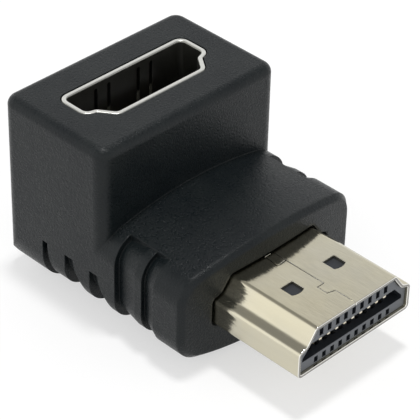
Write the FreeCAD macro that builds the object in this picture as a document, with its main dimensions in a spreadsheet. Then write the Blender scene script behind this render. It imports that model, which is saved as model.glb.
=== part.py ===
import FreeCAD, Part

# Right angle adapter for the flat 19-contact video connector: a plug that leaves the body along +X
# and a socket that opens upwards along +Z. Lengths are in millimetres.
# Pieces are modelled about the socket's axis and then moved: the origin is on the heel's flat underside.

import math
import os

import Sketcher
from FreeCAD import Placement, Rotation, Vector

document = FreeCAD.newDocument("right_angle_adapter")
sheet = document.addObject("Spreadsheet::Sheet", "sizes")

# Driving sizes
SIZES = {
    "plug_width": (13.9, "plug shell, outside, across"),
    "plug_height": (4.45, "plug shell, outside, wide side to narrow side"),
    "plug_side_height": (2.67, "straight part of the plug shell's side walls"),
    "plug_ledge_width": (0.95, "ledge at the top of each side wall"),
    "plug_ledge_rise": (0.3, "rise of that ledge towards the middle"),
    "plug_narrow_width": (9.9, "narrow side of the plug shell, corner to corner"),
    "plug_corner_radius": (0.5, "outer bends of the plug shell"),
    "plug_ledge_radius": (0.72, "inner bend where the ledge turns up"),
    "plug_wall": (0.3, "sheet of the plug shell"),
    "plug_showing": (9.54, "plug shell in front of the housing"),
    "plug_hold": (4.7, "plug shell inside the housing"),
    "plug_level": (4.0, "resting face to the plug shell's underside"),
    "seam_width": (0.06, "gap of the folded shell's seam"),
    "seam_offset": (0.2, "seam from the middle"),
    "seam_tab_start": (3.74, "interlocking tab, its rear side from the plug's tip"),
    "seam_tab_length": (1.45, "interlocking tab, along the plug"),
    "seam_tab_width": (0.85, "interlocking tab, across the seam"),
    "seam_tab_slant": (0.25, "slant of the tab's front side"),
    "window_setback": (5.69, "rear edge of a latch window from the plug's tip"),
    "window_length": (1.35, "latch window, along the straight sides"),
    "window_bow": (0.2, "bulge of the latch window's front edge"),
    "window_width": (1.46, "latch window, across"),
    "window_spacing": (5.2, "between the middles of a pair of latch windows"),
    "insert_gap": (0.03, "moulded insert to the shell around it"),
    "face_setback": (0.3, "plug insert's front face behind the shell's rim"),
    "mouth_depth": (6.6, "depth of the plug insert's mouth"),
    "mouth_level": (1.3, "plug shell's underside to the mouth's lower side"),
    "mouth_height": (1.45, "mouth, lower side to upper side"),
    "mouth_end_height": (0.35, "upright end of the mouth"),
    "mouth_width": (12.4, "mouth at its wide side"),
    "mouth_narrow_width": (10.4, "mouth at its narrow side"),
    "contact_pitch": (1.0, "between neighbouring contacts of a row"),
    "contact_width": (0.34, "width of a contact"),
    "contact_sheet": (0.2, "thickness of a contact"),
    "slot_width": (0.46, "contact slot in the plug insert"),
    "slot_bridge": (0.27, "web between a contact slot and the mouth"),
    "lower_slot_height": (0.6, "contact slot of the wide row"),
    "upper_slot_height": (0.72, "contact slot of the narrow row"),
    "slot_lip": (0.75, "closed web behind the insert's front face"),
    "slot_open": (4.6, "stretch in which a contact can dip into the mouth"),
    "tip_lift": (0.42, "dip of a contact into the mouth"),
    "tip_setback": (0.5, "contact's tip behind the closed web"),
    "crest_setback": (0.9, "contact's crest behind its tip"),
    "tail_length": (2.0, "solder tail of a plug contact"),
    "board_gap": (0.3, "plug insert to the circuit board's edge"),
    "board_thickness": (0.8, "circuit board"),
    "board_side_gap": (0.45, "circuit board's side edges to the inner mould's sides"),
    "board_end_gap": (0.6, "circuit board's rear edge to the inner mould's rear side"),
    "board_neck_width": (13.0, "circuit board between the plug shell's tails"),
    "board_neck_length": (3.4, "narrow front end of the circuit board"),
    "tail_height": (1.6, "solder tails of the plug shell, height"),
    "tail_reach": (2.6, "solder tails of the plug shell, length behind the shell"),
    "socket_clearance": (0.05, "socket opening around the plug"),
    "socket_wall": (0.5, "sheet of the socket shell"),
    "socket_depth": (10.2, "socket shell, rim to lower edge"),
    "socket_stand": (1.375, "circuit board to the socket shell's lower edge"),
    "socket_floor_rise": (0.9, "socket shell's lower edge to the insert's floor"),
    "tongue_setback": (3.35, "tongue's tip below the socket's rim"),
    "tongue_thickness": (1.1, "tongue between its two faces"),
    "tongue_width": (11.2, "tongue, across"),
    "tongue_offset": (0.2, "tongue's middle towards the wide side"),
    "tongue_chamfer": (0.25, "bevel at the tongue's tip"),
    "contact_proud": (0.04, "socket contact above the tongue's face"),
    "contact_end_gap": (0.7, "socket contact's end below the tongue's tip"),
    "foot_length": (1.2, "solder foot of a socket contact"),
    "foot_gap": (0.45, "socket insert's underside above the board"),
    "rib_width": (12.0, "middle rib below the socket insert, across"),
    "spring_setback": (0.65, "socket rim to the tops of the spring slots"),
    "spring_length": (6.4, "spring slots, top to bottom"),
    "spring_slot": (0.42, "width of a spring slot"),
    "spring_width": (1.12, "spring finger between its slots"),
    "spring_spacing": (5.08, "between the middles of a pair of springs"),
    "leg_width": (1.0, "socket shell's legs, along the plug's direction"),
    "leg_spacing": (2.2, "between the middles of the legs on one side"),
    "leg_offset": (0.9, "legs' middle behind the socket's axis"),
    "leg_past_board": (0.8, "legs below the circuit board"),
    "leg_gap": (0.05, "leg to its slot in the board"),
    "body_width": (21.0, "housing, across"),
    "block_back": (6.45, "housing behind the socket's axis"),
    "block_front": (6.35, "upright block in front of the socket's axis"),
    "block_corner_radius": (1.25, "upright corners of the block"),
    "block_top_radius": (0.9, "top edges of the block"),
    "waist_height": (6.3, "level where the block meets the lower body"),
    "heel_edge_radius": (3.5, "lower side edges of the heel"),
    "heel_back_radius": (3.5, "lower rear edge of the heel"),
    "arm_reach": (16.5, "socket's axis to the housing's front face"),
    "arm_cover": (2.35, "plug shell's upper side to the arm's crowned top"),
    "arm_top_crown": (1.5, "fall of the arm's top towards each side"),
    "arm_bottom_crown": (1.7, "rise of the arm's underside towards each side"),
    "arm_top_radius": (2.6, "upper side edges of the arm"),
    "arm_bottom_radius": (2.6, "lower side edges of the arm"),
    "arm_front_bow": (0.65, "bow of the front face, middle to sides"),
    "arm_front_bevel": (0.45, "bevel of the edges round the front face"),
    "grip_back": (1.6, "first grip step behind the socket's axis"),
    "grip_first": (2.9, "first grip step to the second"),
    "grip_pitch": (3.2, "between the other grip steps"),
    "grip_depth": (0.95, "depth of a lower grip step, underneath"),
    "grip_side_rise": (0.45, "how much less deep it is at the sides"),
    "grip_corner": (0.9, "how much fuller the grip's path is round the arm's lower corners"),
    "arm_grip_corner": (0.3, "the same for the steps that run over the arm's edges"),
    "arm_grip_depth": (0.6, "depth of a grip step that runs over the arm's edges"),
    "grip_run": (2.4, "ramp of a grip rib"),
    "grip_back_depth": (1.1, "depth of the first grip step"),
    "grip_back_run": (1.15, "ramp behind the first grip step"),
    "grip_height": (5.15, "top of the three rear grip steps"),
    "grip_end_run": (1.7, "ramp behind the last grip step"),
    "strip_depth": (0.12, "rib beside the arm, below its surface"),
    "grip_over": (0.06, "rib ramp run out past the surface"),
    "root_gap": (0.2, "recess round the plug's root"),
    "root_depth": (0.7, "depth of that recess"),
    "rim_gap": (0.06, "housing round the socket's rim"),
    "rim_gap_depth": (0.8, "depth of that gap"),
    "mould_gap": (0.02, "inner mould to the shells it holds"),
    "side_wall": (1.9, "housing beside, behind and before the inner mould"),
    "front_wall": (2.2, "housing before the inner mould's front end"),
    "mould_under": (1.1, "inner mould below the plug shell"),
    "mould_over": (0.3, "inner mould above the plug shell"),
    "mould_rim_setback": (3.6, "socket rim to the inner mould's upper end"),
    "void_margin": (0.25, "room round the board and tails in the inner mould"),
    "origin_setback": (2.5, "origin behind the socket's axis"),
    "cutter_run": (1.0, "how far a cut or a joined part runs past a face"),
}

WIDE_ROW_COUNT = 10
NARROW_ROW_COUNT = 9
# The radius at a spring slot's end is this share of the slot's width
SLOT_END_SHARE = 0.45


class Length:
    """A length with its number and the sheet expression that it stands for."""

    def __init__(self, number, text):
        self.number = number
        self.text = text

    def __add__(self, other):
        other = as_length(other)
        return Length(self.number + other.number, f"({self.text} + {other.text})")

    def __radd__(self, other):
        return as_length(other) + self

    def __sub__(self, other):
        other = as_length(other)
        return Length(self.number - other.number, f"({self.text} - {other.text})")

    def __rsub__(self, other):
        return as_length(other) - self

    def __mul__(self, other):
        other = as_length(other)
        return Length(self.number * other.number, f"({self.text} * {other.text})")

    def __rmul__(self, other):
        return as_length(other) * self

    def __truediv__(self, other):
        other = as_length(other)
        return Length(self.number / other.number, f"({self.text} / {other.text})")

    def __neg__(self):
        return 0 - self


def as_length(value):
    """Wrap a plain number so that it can join an expression."""
    if isinstance(value, Length):
        return value
    return Length(float(value), repr(float(value)))


def fill_sheet():
    """Write each size into the sheet and return the sizes by name."""
    lengths = {}
    for row, (alias, (number, remark)) in enumerate(SIZES.items(), start=1):
        sheet.set(f"A{row}", alias)
        sheet.set(f"B{row}", str(number))
        sheet.set(f"C{row}", remark)
        sheet.setAlias(f"B{row}", alias)
        lengths[alias] = Length(number, f"sizes.{alias}")
    document.recompute()
    return lengths


S = fill_sheet()
ZERO = as_length(0)

# Directions: a profile is drawn in x and y and pushed along z, then turned into place.
ACROSS_PLUG = Rotation(Vector(0, 1, 0), Vector(0, 0, 1), Vector(1, 0, 0), "XYZ")
ACROSS_SOCKET = Rotation(Vector(0, -1, 0), Vector(1, 0, 0), Vector(0, 0, 1), "XYZ")
SIDE_ON = Rotation(Vector(1, 0, 0), Vector(0, 0, 1), Vector(0, -1, 0), "XYZ")

# Places that several pieces share
half_width = S["body_width"] / 2
plug_tip = S["arm_reach"] + S["plug_showing"]
plug_rear = S["arm_reach"] - S["plug_hold"]
plug_middle = S["plug_level"] + S["plug_height"] / 2
insert_face = plug_tip - S["face_setback"]
board_top = plug_middle + S["board_thickness"] / 2
board_bottom = plug_middle - S["board_thickness"] / 2
board_front = plug_rear - S["board_gap"]
plug_top = S["plug_level"] + S["plug_height"]
arm_height = plug_top + S["arm_cover"]
socket_bottom = board_top + S["socket_stand"]
socket_floor = socket_bottom + S["socket_floor_rise"]
body_height = socket_bottom + S["socket_depth"]
tongue_tip = body_height - S["tongue_setback"]
tongue_wide_face = -S["tongue_offset"] - S["tongue_thickness"] / 2
tongue_narrow_face = S["tongue_thickness"] / 2 - S["tongue_offset"]
mould_half = half_width - S["side_wall"]
mould_back = S["block_back"] - S["side_wall"]
mould_front = S["block_front"] - S["side_wall"]
mould_reach = S["arm_reach"] - S["front_wall"]
mould_floor = S["plug_level"] - S["mould_under"]
board_half = mould_half - S["board_side_gap"]
board_back = mould_back - S["board_end_gap"]
mould_top = body_height - S["mould_rim_setback"]
mould_arm_top = plug_top + S["mould_over"]
past = S["cutter_run"]


# Helpers
def bind(thing, path, length):
    """Tie a property of an object to the sheet."""
    thing.setExpression(path, as_length(length).text)


def place(thing, x=ZERO, y=ZERO, z=ZERO, turn=None):
    """Put an object at a place worked out in the sheet."""
    thing.Placement = Placement(Vector(0, 0, 0), turn or Rotation())
    for axis, value in zip("xyz", (x, y, z)):
        bind(thing, f"Placement.Base.{axis}", value)


def fix_point(sketch, geometry, end, x, y):
    """Hold a point of a sketch at x and y."""
    for kind, value in (("DistanceX", as_length(x)), ("DistanceY", as_length(y))):
        index = sketch.addConstraint(Sketcher.Constraint(kind, geometry, end, value.number))
        sketch.setExpression(f"Constraints[{index}]", value.text)


def fix_radius(sketch, geometry, radius):
    """Hold the radius of an arc."""
    index = sketch.addConstraint(Sketcher.Constraint("Radius", geometry, radius.number))
    sketch.setExpression(f"Constraints[{index}]", radius.text)


def corner_arc(before, corner, after, radius):
    """The arc that rounds a corner, where it starts and ends, and whether it turns left."""
    incoming = (corner - before).normalize()
    outgoing = (after - corner).normalize()
    turn = math.atan2(incoming.x * outgoing.y - incoming.y * outgoing.x, incoming.dot(outgoing))
    reach = radius * math.tan(abs(turn) / 2)
    start = corner - incoming * reach
    end = corner + outgoing * reach
    left = turn > 0
    side = Vector(-incoming.y, incoming.x, 0) if left else Vector(incoming.y, -incoming.x, 0)
    center = start + side * radius
    first, last = (start, end) if left else (end, start)
    angles = [math.atan2(point.y - center.y, point.x - center.x) for point in (first, last)]
    arc = Part.ArcOfCircle(Part.Circle(center, Vector(0, 0, 1), radius), *angles)
    return arc, start, end, left


def draw_outline(sketch, corners):
    """Draw a closed outline of straight sides, each corner (x, y) sharp or (x, y, radius) rounded."""
    count = len(corners)
    spots = [Vector(as_length(c[0]).number, as_length(c[1]).number, 0) for c in corners]
    arcs = [None] * count
    starts, ends = list(spots), list(spots)
    for i, corner in enumerate(corners):
        if len(corner) == 3:
            shape, starts[i], ends[i], left = corner_arc(spots[i - 1], spots[i], spots[(i + 1) % count],
                                                         corner[2].number)
            arcs[i] = (sketch.addGeometry(shape, False), left)
    sides = [sketch.addGeometry(Part.LineSegment(ends[i], starts[(i + 1) % count]), False)
             for i in range(count)]
    for i, corner in enumerate(corners):
        before, after = sides[i - 1], sides[i]
        if arcs[i] is None:
            sketch.addConstraint(Sketcher.Constraint("Coincident", before, 2, after, 1))
            fix_point(sketch, after, 1, corner[0], corner[1])
            continue
        arc, left = arcs[i]
        first, last = (1, 2) if left else (2, 1)
        sketch.addConstraint(Sketcher.Constraint("Tangent", before, 2, arc, first))
        sketch.addConstraint(Sketcher.Constraint("Tangent", after, 1, arc, last))
        fix_radius(sketch, arc, corner[2])
        point = sketch.addGeometry(Part.Point(spots[i]), True)
        fix_point(sketch, point, 1, corner[0], corner[1])
        sketch.addConstraint(Sketcher.Constraint("PointOnObject", point, 1, before))
        sketch.addConstraint(Sketcher.Constraint("PointOnObject", point, 1, after))


def free_sketch(name, *outlines):
    """A sketch by itself, with one or more closed outlines."""
    sketch = document.addObject("Sketcher::SketchObject", name)
    for corners in outlines:
        draw_outline(sketch, corners)
    return sketch


def rectangle(x0, x1, y0, y1, radius=None):
    """The corners of a rectangle, rounded where a radius is given."""
    corners = [(x0, y0), (x1, y0), (x1, y1), (x0, y1)]
    return [corner + (radius,) for corner in corners] if radius else corners


def push(name, profile, length, turn, x=ZERO, y=ZERO, z=ZERO, both_ways=False):
    """Push a flat profile along its normal and put the solid in place."""
    solid = document.addObject("Part::Extrusion", name)
    solid.Base = profile
    solid.DirMode = "Custom"
    solid.Dir = Vector(0, 0, 1)
    solid.Solid = True
    solid.Symmetric = both_ways
    bind(solid, "LengthFwd", length)
    place(solid, x, y, z, turn)
    return solid


def box(name, x0, x1, y0, y1, z0, z1):
    """A box between the given planes."""
    solid = document.addObject("Part::Box", name)
    for size, low, high in (("Length", x0, x1), ("Width", y0, y1), ("Height", z0, z1)):
        bind(solid, size, as_length(high) - low)
    place(solid, as_length(x0), as_length(y0), as_length(z0))
    return solid


def join(name, solids):
    """Several solids as one."""
    union = document.addObject("Part::MultiFuse", name)
    union.Shapes = solids
    union.Refine = True
    return union


def cut(name, base, tool):
    """One solid less another."""
    result = document.addObject("Part::Cut", name)
    result.Base = base
    result.Tool = tool
    result.Refine = True
    return result


def offset_outline(name, source, distance):
    """A copy of a flat outline, moved outwards by a distance."""
    outline = document.addObject("Part::Offset2D", name)
    outline.Source = source
    outline.Join = "Arc"
    outline.Fill = False
    bind(outline, "Value", distance)
    return outline


def body_sketch(body, role, name, offset=ZERO):
    """A sketch on one of a body's own origin planes, moved along the plane's normal."""
    sketch = body.newObject("Sketcher::SketchObject", name)
    plane = next(item for item in body.Origin.OriginFeatures if item.Role == role)
    sketch.AttachmentSupport = [(plane, "")]
    sketch.MapMode = "FlatFace"
    bind(sketch, "AttachmentOffset.Base.z", offset)
    return sketch


def pad(body, sketch, length, backwards=False):
    """Add material to a body."""
    feature = body.newObject("PartDesign::Pad", f"{sketch.Name}_pad")
    feature.Profile = sketch
    feature.Reversed = backwards
    bind(feature, "Length", length)
    return feature


def pocket(body, sketch, length, backwards=False):
    """Take material from a body."""
    feature = body.newObject("PartDesign::Pocket", f"{sketch.Name}_pocket")
    feature.Profile = sketch
    feature.Reversed = backwards
    bind(feature, "Length", length)
    return feature


def treat_edges(body, kind, name, wanted):
    """Start a feature of the given kind on the edges of a body that a test picks out."""
    document.recompute()
    base = body.Tip
    names = [f"Edge{i}" for i, edge in enumerate(base.Shape.Edges, start=1) if wanted(edge)]
    feature = body.newObject(kind, name)
    feature.Base = (base, names)
    return feature


def round_edges(body, name, radius, wanted):
    """Round the edges that a test picks out."""
    bind(treat_edges(body, "PartDesign::Fillet", name, wanted), "Radius", radius)


def bevel_edges(body, name, size, wanted):
    """Bevel the edges that a test picks out."""
    bind(treat_edges(body, "PartDesign::Chamfer", name, wanted), "Size", size)


def middle(edge):
    """The middle point of an edge."""
    return edge.valueAt((edge.FirstParameter + edge.LastParameter) / 2)


def near(one, other):
    """Whether two numbers are the same place."""
    return abs(one - as_length(other).number) < 0.01


# Connector outline, shared by plug and socket
def connector_outline():
    """The plug shell's outside: x across, y from the wide side up to the narrow side."""
    side = S["plug_width"] / 2
    low = -S["plug_height"] / 2
    ledge = low + S["plug_side_height"]
    bend, inner_bend = S["plug_corner_radius"], S["plug_ledge_radius"]
    half = [
        (side, low, bend),
        (side, ledge, bend),
        (side - S["plug_ledge_width"], ledge + S["plug_ledge_rise"], inner_bend),
        (S["plug_narrow_width"] / 2, S["plug_height"] / 2, bend),
    ]
    mirrored = [(-x, y, radius) for x, y, radius in reversed(half)]
    return free_sketch("connector_outline", half + mirrored)


plug_outside = connector_outline()
plug_inside = offset_outline("plug_inside", plug_outside, -S["plug_wall"])
plug_insert_outline = offset_outline("plug_insert_outline", plug_outside, -S["plug_wall"] - S["insert_gap"])
plug_seat_outline = offset_outline("plug_seat_outline", plug_outside, S["mould_gap"])
plug_root_outline = offset_outline("plug_root_outline", plug_outside, S["root_gap"])
socket_inside = offset_outline("socket_inside", plug_outside, S["socket_clearance"])
socket_insert_outline = offset_outline("socket_insert_outline", plug_outside,
                                       S["socket_clearance"] - S["insert_gap"])
socket_outside = offset_outline("socket_outside", plug_outside, S["socket_clearance"] + S["socket_wall"])
socket_seat_outline = offset_outline("socket_seat_outline", plug_outside,
                                     S["socket_clearance"] + S["socket_wall"] + S["mould_gap"])
socket_rim_outline = offset_outline("socket_rim_outline", plug_outside,
                                    S["socket_clearance"] + S["socket_wall"] + S["rim_gap"])


# Plug shell: one folded sheet, closed by a seam with an interlocking tab
def seam_outline():
    """The seam's thin gap, seen from above, from behind the shell to in front of it."""
    gap = S["seam_width"]
    line = -S["seam_offset"]
    rear = plug_tip - S["seam_tab_start"]
    front = rear + S["seam_tab_length"]
    slant = S["seam_tab_slant"]
    far = line - S["seam_tab_width"]
    return free_sketch("seam_outline", [
        (plug_rear - past, line), (rear + gap, line), (rear + gap, far + gap),
        (front - slant, far + gap), (front, line), (plug_tip + past, line),
        (plug_tip + past, line + gap), (front - gap, line + gap), (front - slant - gap, far + gap * 2),
        (rear + gap * 2, far + gap * 2), (rear + gap * 2, line + gap), (plug_rear - past, line + gap),
    ])


def window_outline():
    """A latch window, seen from above, its front edge bowed towards the plug's tip."""
    sketch = document.addObject("Sketcher::SketchObject", "window_outline")
    half = S["window_width"] / 2
    front = S["window_length"]
    bow = S["window_bow"]
    radius = (half * half + bow * bow) / (2 * bow)
    corners = [(ZERO, half), (ZERO, -half), (front, -half), (front, half)]
    points = [Vector(x.number, y.number, 0) for x, y in corners]
    sides = [sketch.addGeometry(Part.LineSegment(points[i - 1], points[i]), False) for i in (0, 1, 2)]
    crest = Vector((front + bow).number, 0, 0)
    arc = sketch.addGeometry(Part.Arc(points[2], crest, points[3]), False)
    ring = [sides[0], sides[1], sides[2], arc]
    for i, (x, y) in enumerate(corners[:3]):
        following = ring[(i + 1) % 4]
        sketch.addConstraint(Sketcher.Constraint("Coincident", ring[i], 2, following, 1))
        fix_point(sketch, ring[i], 2, x, y)
    sketch.addConstraint(Sketcher.Constraint("Coincident", arc, 2, sides[0], 1))
    fix_point(sketch, sides[0], 1, front, half)
    fix_radius(sketch, arc, radius)
    return sketch


def plug_shell():
    """The folded shell with its seam, two pairs of latch windows and two solder tails."""
    length = plug_tip - plug_rear
    outside = push("plug_shell_outside", plug_outside, length, ACROSS_PLUG, plug_rear, ZERO, plug_middle)
    inside = push("plug_shell_inside", plug_inside, length + 2 * past, ACROSS_PLUG, plug_rear - past,
                  ZERO, plug_middle)
    window = window_outline()
    openings = [inside]
    for side, label in ((-1, "right"), (1, "left")):
        openings.append(push(f"latch_windows_{label}", window, S["plug_height"] + 2 * past, Rotation(),
                             plug_tip - S["window_setback"], side * S["window_spacing"] / 2,
                             S["plug_level"] - past))
    openings.append(push("seam_gap", seam_outline(), S["plug_height"], Rotation(), ZERO, ZERO, plug_middle))
    sheet_metal = cut("plug_sheet", outside, join("plug_shell_openings", openings))
    side = S["plug_width"] / 2
    tail_top = plug_middle + S["tail_height"] / 2 - S["plug_wall"]
    tail_low = tail_top - S["tail_height"]
    rear = plug_rear - S["tail_reach"]
    tails = [
        box("plug_tail_left", rear, plug_rear, side - S["plug_wall"], side, tail_low, tail_top),
        box("plug_tail_right", rear, plug_rear, -side, S["plug_wall"] - side, tail_low, tail_top),
    ]
    return join("plug_shell", [sheet_metal] + tails)


# Plug insert: the moulded block with the mouth and the contact slots
def row_places(count):
    """The places of a row's contacts, from one side to the other."""
    return [S["contact_pitch"] * (i - (count - 1) / 2) for i in range(count)]


mouth_low = S["plug_level"] + S["mouth_level"]
mouth_high = mouth_low + S["mouth_height"]
slot_front = insert_face - S["slot_lip"]
slot_rear = slot_front - S["slot_open"]
contact_tip = slot_front - S["tip_setback"]


def slot_levels(direction):
    """The mouth's side and the slot's two sides, for the upper (1) or the lower (-1) row."""
    mouth_side = mouth_high if direction > 0 else mouth_low
    height = S["upper_slot_height"] if direction > 0 else S["lower_slot_height"]
    inner = mouth_side + direction * S["slot_bridge"]
    return mouth_side, inner, inner + direction * height


def slot_profile(name, direction):
    """A contact slot, seen from the side: open to the front and, further back, to the mouth."""
    mouth_side, inner, outer = slot_levels(direction)
    within = mouth_side - direction * S["slot_bridge"] / 2
    return free_sketch(name, [
        (insert_face + past, inner), (slot_front, inner), (slot_front, within),
        (slot_rear, within), (slot_rear, outer), (insert_face + past, outer),
    ])


def plug_contact_profile(name, direction):
    """A plug contact, seen from the side: solder tail, spring arm, crest in the mouth and raised tip."""
    mouth_side, inner, outer = slot_levels(direction)
    board_side = board_top if direction > 0 else board_bottom
    sheet_side = direction * S["contact_sheet"]
    bed = (inner + outer) / 2 - sheet_side / 2
    crest = mouth_side - direction * S["tip_lift"]
    crest_at = contact_tip - S["crest_setback"]
    tail_end = board_front - S["tail_length"]
    arm = slot_rear + S["slot_bridge"]
    step = S["contact_sheet"]
    lower = [
        (tail_end, board_side), (board_front, board_side), (plug_rear, bed), (arm, bed),
        (crest_at, crest), (contact_tip, inner),
    ]
    upper = [
        (contact_tip, inner + sheet_side), (crest_at - step / 4, crest + sheet_side),
        (arm + step / 4, bed + sheet_side), (plug_rear - step, bed + sheet_side),
        (board_front - step, board_side + sheet_side), (tail_end, board_side + sheet_side),
    ]
    return free_sketch(name, lower + upper)


def plug_insert(slots, contact_beds):
    """The insert, less its mouth and the room of its contacts."""
    block = push("plug_insert_block", plug_insert_outline, insert_face - plug_rear, ACROSS_PLUG,
                 plug_rear, ZERO, plug_middle)
    wide, narrow = S["mouth_width"] / 2, S["mouth_narrow_width"] / 2
    end = mouth_low + S["mouth_end_height"]
    mouth_outline = free_sketch("mouth_outline", [
        (-wide, mouth_low), (wide, mouth_low), (wide, end),
        (narrow, mouth_high), (-narrow, mouth_high), (-wide, end),
    ])
    mouth = push("mouth", mouth_outline, S["mouth_depth"] + past, ACROSS_PLUG,
                 insert_face - S["mouth_depth"])
    return cut("plug_insulator", block, join("plug_insert_openings", [mouth] + slots + contact_beds))


def plug_rows():
    """The contacts of both rows, the slots that show them and the beds that hold them."""
    contacts, slots, beds = [], [], []
    for direction, count, row in ((1, NARROW_ROW_COUNT, "upper"), (-1, WIDE_ROW_COUNT, "lower")):
        slot = slot_profile(f"slot_profile_{row}", direction)
        profile = plug_contact_profile(f"plug_contact_profile_{row}", direction)
        mouth_side, inner, outer = slot_levels(direction)
        bed_low = (inner + outer) / 2 - S["contact_sheet"] / 2
        for i, across in enumerate(row_places(count), start=1):
            slots.append(push(f"slot_{row}_{i:02d}", slot, S["slot_width"], SIDE_ON, ZERO, across,
                              both_ways=True))
            contacts.append(push(f"plug_contact_{row}_{i:02d}", profile, S["contact_width"], SIDE_ON,
                                 ZERO, across, both_ways=True))
            beds.append(box(f"plug_bed_{row}_{i:02d}", plug_rear - past, slot_rear + S["slot_bridge"],
                            across - S["contact_width"] / 2, across + S["contact_width"] / 2,
                            bed_low, bed_low + S["contact_sheet"]))
    return contacts, slots, beds


# Socket shell: folded sheet with spring fingers and four legs
def socket_shell():
    """The socket's shell: its wide side at the back, its narrow side towards the plug."""
    outside = push("socket_shell_outside", socket_outside, S["socket_depth"], ACROSS_SOCKET,
                   ZERO, ZERO, socket_bottom)
    inside = push("socket_shell_inside", socket_inside, S["socket_depth"] + 2 * past, ACROSS_SOCKET,
                  ZERO, ZERO, socket_bottom - past)
    top = body_height - S["spring_setback"]
    low = top - S["spring_length"]
    half, slot = S["spring_width"] / 2, S["spring_slot"]
    bend = slot * SLOT_END_SHARE
    outer = half + slot
    spring_outline = free_sketch("spring_outline", [
        (-outer, low), (outer, low), (outer, top, bend), (half, top, bend), (half, low + slot),
        (-half, low + slot), (-half, top, bend), (-outer, top, bend),
    ])
    depth = S["plug_height"] + 4 * S["socket_wall"]
    openings = [inside]
    for side, label in ((-1, "right"), (1, "left")):
        openings.append(push(f"spring_slots_{label}", spring_outline, depth, ACROSS_PLUG, -depth / 2,
                             side * S["spring_spacing"] / 2))
    sheet_metal = cut("socket_sheet", outside, join("socket_shell_openings", openings))
    side = S["plug_width"] / 2 + S["socket_clearance"]
    legs = []
    for number, (x, y0, y1) in enumerate(leg_places(side, side + S["socket_wall"]), start=1):
        legs.append(box(f"socket_leg_{number}", x - S["leg_width"] / 2, x + S["leg_width"] / 2, y0, y1,
                        board_bottom - S["leg_past_board"], socket_bottom))
    return join("socket_shell", [sheet_metal] + legs)


def leg_places(near_side, far_side):
    """Where the four legs stand: along the plug's direction, and between two planes across it."""
    places = []
    for step in (-0.5, 0.5):
        x = step * S["leg_spacing"] - S["leg_offset"]
        places.append((x, near_side, far_side))
        places.append((x, -far_side, -near_side))
    return places


# Socket insert and its contacts
def socket_contact_profile(name, direction):
    """A socket contact, seen from the side: blade on the tongue and foot on the board."""
    face = tongue_narrow_face if direction > 0 else tongue_wide_face
    outer = face + direction * S["contact_proud"]
    inner = outer - direction * S["contact_sheet"]
    foot = outer + direction * S["foot_length"]
    top = tongue_tip - S["contact_end_gap"]
    foot_top = board_top + S["contact_sheet"]
    return free_sketch(name, [
        (inner, board_top), (foot, board_top), (foot, foot_top), (outer, foot_top), (outer, top), (inner, top),
    ]), min((inner, outer), key=lambda edge: edge.number), max((inner, outer), key=lambda edge: edge.number)


def socket_rows():
    """The contacts of both rows and the grooves that hold them."""
    contacts, grooves = [], []
    for direction, count, row in ((-1, WIDE_ROW_COUNT, "wide"), (1, NARROW_ROW_COUNT, "narrow")):
        profile, low, high = socket_contact_profile(f"socket_contact_profile_{row}", direction)
        for i, across in enumerate(row_places(count), start=1):
            contacts.append(push(f"socket_contact_{row}_{i:02d}", profile, S["contact_width"], SIDE_ON,
                                 ZERO, across, both_ways=True))
            grooves.append(box(f"socket_groove_{row}_{i:02d}", low, high, across - S["contact_width"] / 2,
                               across + S["contact_width"] / 2, board_top - past,
                               tongue_tip - S["contact_end_gap"]))
    return contacts, grooves


def socket_insert(grooves):
    """The insert: a base that closes the shell, a tongue above it and a rib that stands on the board."""
    base_low = board_top + S["foot_gap"]
    base = push("socket_insert_base", socket_insert_outline, socket_floor - base_low, ACROSS_SOCKET,
                ZERO, ZERO, base_low)
    bevel = S["tongue_chamfer"]
    tongue_foot = (base_low + socket_floor) / 2
    tongue_outline = free_sketch("tongue_outline", [
        (tongue_wide_face, tongue_foot), (tongue_narrow_face, tongue_foot),
        (tongue_narrow_face, tongue_tip - bevel), (tongue_narrow_face - bevel, tongue_tip),
        (tongue_wide_face + bevel, tongue_tip), (tongue_wide_face, tongue_tip - bevel),
    ])
    tongue = push("tongue", tongue_outline, S["tongue_width"], SIDE_ON, both_ways=True)
    rib = box("socket_insert_rib", tongue_wide_face + S["contact_sheet"],
              tongue_narrow_face - S["contact_sheet"], -S["rib_width"] / 2, S["rib_width"] / 2,
              board_top, base_low + S["foot_gap"])
    return cut("socket_insulator", join("socket_insert_solid", [base, tongue, rib]),
               join("socket_insert_grooves", grooves))


# Circuit board
def circuit_board():
    """The board between the plug shell's tails, with slots for the socket shell's legs."""
    body = document.addObject("PartDesign::Body", "circuit_board")
    outline = body_sketch(body, "XY_Plane", "board_outline", board_bottom)
    wide, neck = board_half, S["board_neck_width"] / 2
    shoulder = board_front - S["board_neck_length"]
    draw_outline(outline, [
        (-board_back, -wide), (shoulder, -wide), (shoulder, -neck), (board_front, -neck),
        (board_front, neck), (shoulder, neck), (shoulder, wide), (-board_back, wide),
    ])
    pad(body, outline, S["board_thickness"])
    slots = body_sketch(body, "XY_Plane", "leg_slots", board_top + past)
    side = S["plug_width"] / 2 + S["socket_clearance"]
    gap = S["leg_gap"]
    for x, y0, y1 in leg_places(side - gap, side + S["socket_wall"] + gap):
        draw_outline(slots, rectangle(x - S["leg_width"] / 2 - gap, x + S["leg_width"] / 2 + gap, y0, y1))
    pocket(body, slots, S["board_thickness"] + 2 * past)
    return body


# Inner mould: the first shot that holds both shells and the board
def inner_mould_form(name):
    """The outside of the inner mould: an upright part round the socket and a part along the arm."""
    upright = box(f"{name}_upright", -mould_back, mould_front, -mould_half, mould_half, mould_floor, mould_top)
    along = box(f"{name}_along", -mould_back, mould_reach, -mould_half, mould_half,
                mould_floor, mould_arm_top)
    return join(name, [upright, along])


def socket_seat(name, profile, depth):
    """A plug of material the shape of the socket shell, from its rim down."""
    return push(name, profile, depth + past, ACROSS_SOCKET, ZERO, ZERO, body_height - depth)


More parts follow.
